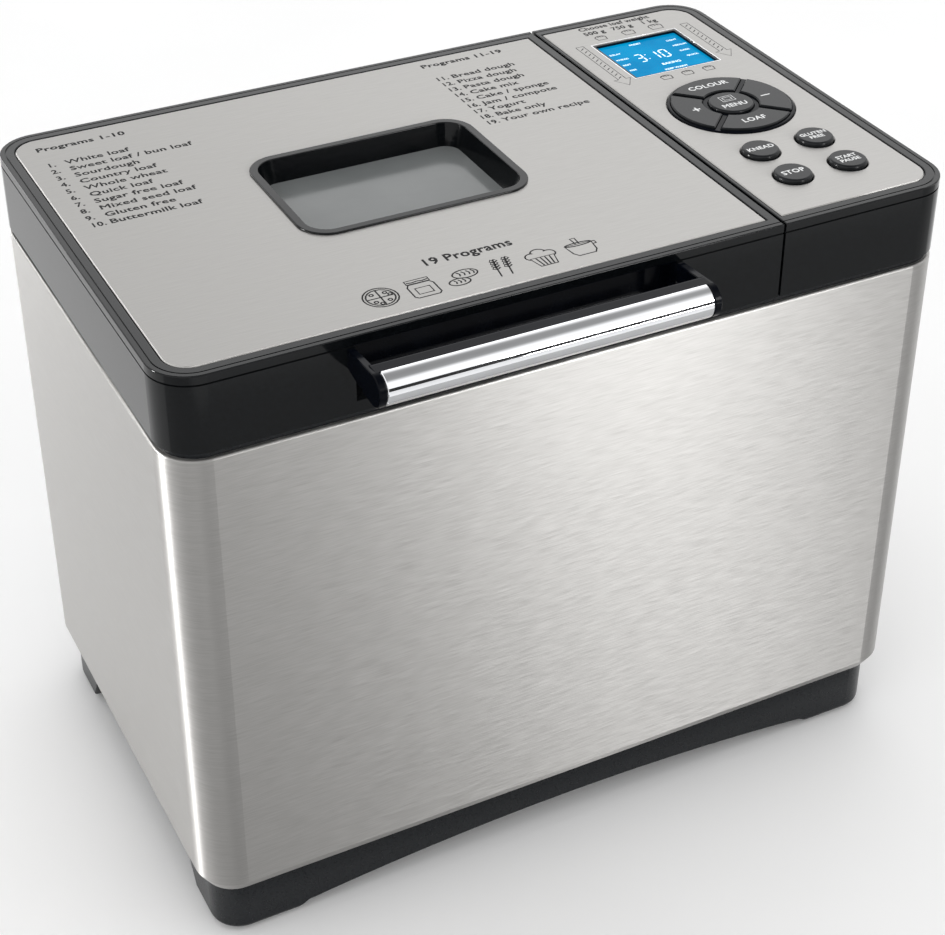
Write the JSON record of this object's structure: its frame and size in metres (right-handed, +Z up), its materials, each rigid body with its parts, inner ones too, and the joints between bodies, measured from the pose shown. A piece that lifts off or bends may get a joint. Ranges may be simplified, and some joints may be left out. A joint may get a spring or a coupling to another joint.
{
  "type": "bread machine",
  "caption": "Countertop bread machine: brushed steel body, hinged lid with window and chrome handle, control panel with display and keys, lift-out pan with kneading paddle.",
  "frame": {"origin": "middle of the machine's box, on the surface that it stands on", "axes": "+X to the right along the width, -Y towards the user (handle side), +Z up"},
  "size_m": [0.36, 0.2642, 0.3],
  "materials": {
    "steel_wrap": "brushed satin stainless",
    "steel_plate": "brushed satin stainless, printed",
    "black_plastic": "smooth semi-gloss moulding",
    "base_plastic": "fine texture",
    "button_plastic": "satin gloss moulding",
    "chrome_trim": "polished plating",
    "window_glass": "grey tinted, clear",
    "display_glass": "blue backlit display",
    "rubber": "matte",
    "silicone": "matte silicone",
    "liner_steel": "plain aluminised sheet",
    "zinc_steel": "zinc-plated",
    "pan_coat": "non-stick coating",
    "cast_metal": "die cast",
    "element": "oxidised tube",
    "bronze": "sintered",
    "board": "printed circuit board",
    "belt": "moulded",
    "motor_metal": "laminated core with end bells",
    "can": "capacitor can",
    "pulley_plastic": "natural nylon",
    "wire": "bright wire"
  },
  "bodies": {
    "casing": {"base_tray": "base_plastic", "bearing_housing": "cast_metal", "body_screws": "zinc_steel", "body_wrap": "steel_wrap", "bushes": "bronze", "button_bezel": "button_plastic", "capacitor": "can", "chamber_liner": "liner_steel", "chassis_plate": "zinc_steel", "chassis_screws": "zinc_steel", "control_board": "board", "control_housing": "black_plastic", "control_plate": "steel_plate", "cord_gland": "rubber", "drive_belt": "belt", "heat_shield": "liner_steel", "heating_element": "element", "hinge_brackets": "base_plastic", "hinge_pins": "zinc_steel", "lcd_frame": "black_plastic", "lcd_glass": "display_glass", "motor": "motor_metal", "pan_socket": "cast_metal", "power_board": "board", "rear_panel": "zinc_steel", "rubber_feet": "rubber", "temperature_sensor": "zinc_steel", "top_deck": "base_plastic"},
    "lid": {"lid_shell": "black_plastic", "lid_plate": "steel_plate", "window_bezel": "black_plastic", "window_glass": "window_glass", "lid_liner": "liner_steel", "inner_glass": "window_glass", "lid_seal": "silicone", "lid_screws": "zinc_steel", "handle_frame": "black_plastic", "handle_bar": "chrome_trim", "lid_hinge_arms": "base_plastic"},
    "pan": {"pan_vessel": "pan_coat", "pan_skirt": "cast_metal", "pan_bush": "bronze"},
    "kneader": {"pan_shaft": "zinc_steel", "pan_coupler": "cast_metal", "paddle": "pan_coat"},
    "bail": {"pan_bail": "wire"},
    "drive": {"drive_shaft": "zinc_steel", "large_pulley": "pulley_plastic", "drive_coupler": "cast_metal"},
    "rotor": {"motor_rotor": "motor_metal", "motor_pulley": "pulley_plastic"},
    "key_menu": {"button_menu": "button_plastic"},
    "key_crust": {"button_crust": "button_plastic"},
    "key_minus": {"button_minus": "button_plastic"},
    "key_size": {"button_size": "button_plastic"},
    "key_plus": {"button_plus": "button_plastic"},
    "key_knead": {"button_knead": "button_plastic"},
    "key_gluten_free": {"button_gluten_free": "button_plastic"},
    "key_stop": {"button_stop": "button_plastic"},
    "key_start": {"button_start": "button_plastic"}
  },
  "joints": [
    {"name": "lid_hinge", "type": "hinge", "parent": "casing", "child": "lid", "pos_m": [-0.0445, 0.12657, 0.263], "axis": [-1, 0, 0], "range_deg": [0, 100]},
    {"name": "pan_lift", "type": "slide", "parent": "casing", "child": "pan", "axis": [0, 0, 1], "range_m": [0, 0.06]},
    {"name": "bail_swing", "type": "hinge", "parent": "pan", "child": "bail", "pos_m": [-0.0445, 0.00857, 0.194], "axis": [-1, 0, 0], "range_deg": [0, 180]},
    {"name": "motor_spin", "type": "hinge", "parent": "casing", "child": "rotor", "pos_m": [0.128, 0.00857, 0.07], "axis": [0, 0, 1], "continuous": true},
    {"name": "drive_spin", "type": "hinge", "parent": "casing", "child": "drive", "pos_m": [-0.0445, 0.00857, 0.03], "axis": [0, 0, 1], "continuous": true},
    {"name": "kneader_spin", "type": "hinge", "parent": "pan", "child": "kneader", "pos_m": [-0.0445, 0.00857, 0.08], "axis": [0, 0, 1], "continuous": true},
    {"name": "press_menu", "type": "slide", "parent": "casing", "child": "key_menu", "axis": [0, 0, -1], "range_m": [0, 0.001], "stiffness_N_per_m": 900, "springref_m": -0.0003},
    {"name": "press_crust", "type": "slide", "parent": "casing", "child": "key_crust", "axis": [0, 0, -1], "range_m": [0, 0.001], "stiffness_N_per_m": 900, "springref_m": -0.0003},
    {"name": "press_minus", "type": "slide", "parent": "casing", "child": "key_minus", "axis": [0, 0, -1], "range_m": [0, 0.001], "stiffness_N_per_m": 900, "springref_m": -0.0003},
    {"name": "press_size", "type": "slide", "parent": "casing", "child": "key_size", "axis": [0, 0, -1], "range_m": [0, 0.001], "stiffness_N_per_m": 900, "springref_m": -0.0003},
    {"name": "press_plus", "type": "slide", "parent": "casing", "child": "key_plus", "axis": [0, 0, -1], "range_m": [0, 0.001], "stiffness_N_per_m": 900, "springref_m": -0.0003},
    {"name": "press_knead", "type": "slide", "parent": "casing", "child": "key_knead", "axis": [0, 0, -1], "range_m": [0, 0.001], "stiffness_N_per_m": 900, "springref_m": -0.0003},
    {"name": "press_gluten_free", "type": "slide", "parent": "casing", "child": "key_gluten_free", "axis": [0, 0, -1], "range_m": [0, 0.001], "stiffness_N_per_m": 900, "springref_m": -0.0003},
    {"name": "press_stop", "type": "slide", "parent": "casing", "child": "key_stop", "axis": [0, 0, -1], "range_m": [0, 0.001], "stiffness_N_per_m": 900, "springref_m": -0.0003},
    {"name": "press_start", "type": "slide", "parent": "casing", "child": "key_start", "axis": [0, 0, -1], "range_m": [0, 0.001], "stiffness_N_per_m": 900, "springref_m": -0.0003}
  ],
  "couplings": [
    {"joint": "drive_spin", "follows": "motor_spin", "ratio": 0.16667},
    {"joint": "kneader_spin", "follows": "motor_spin", "ratio": 0.16667}
  ]
}
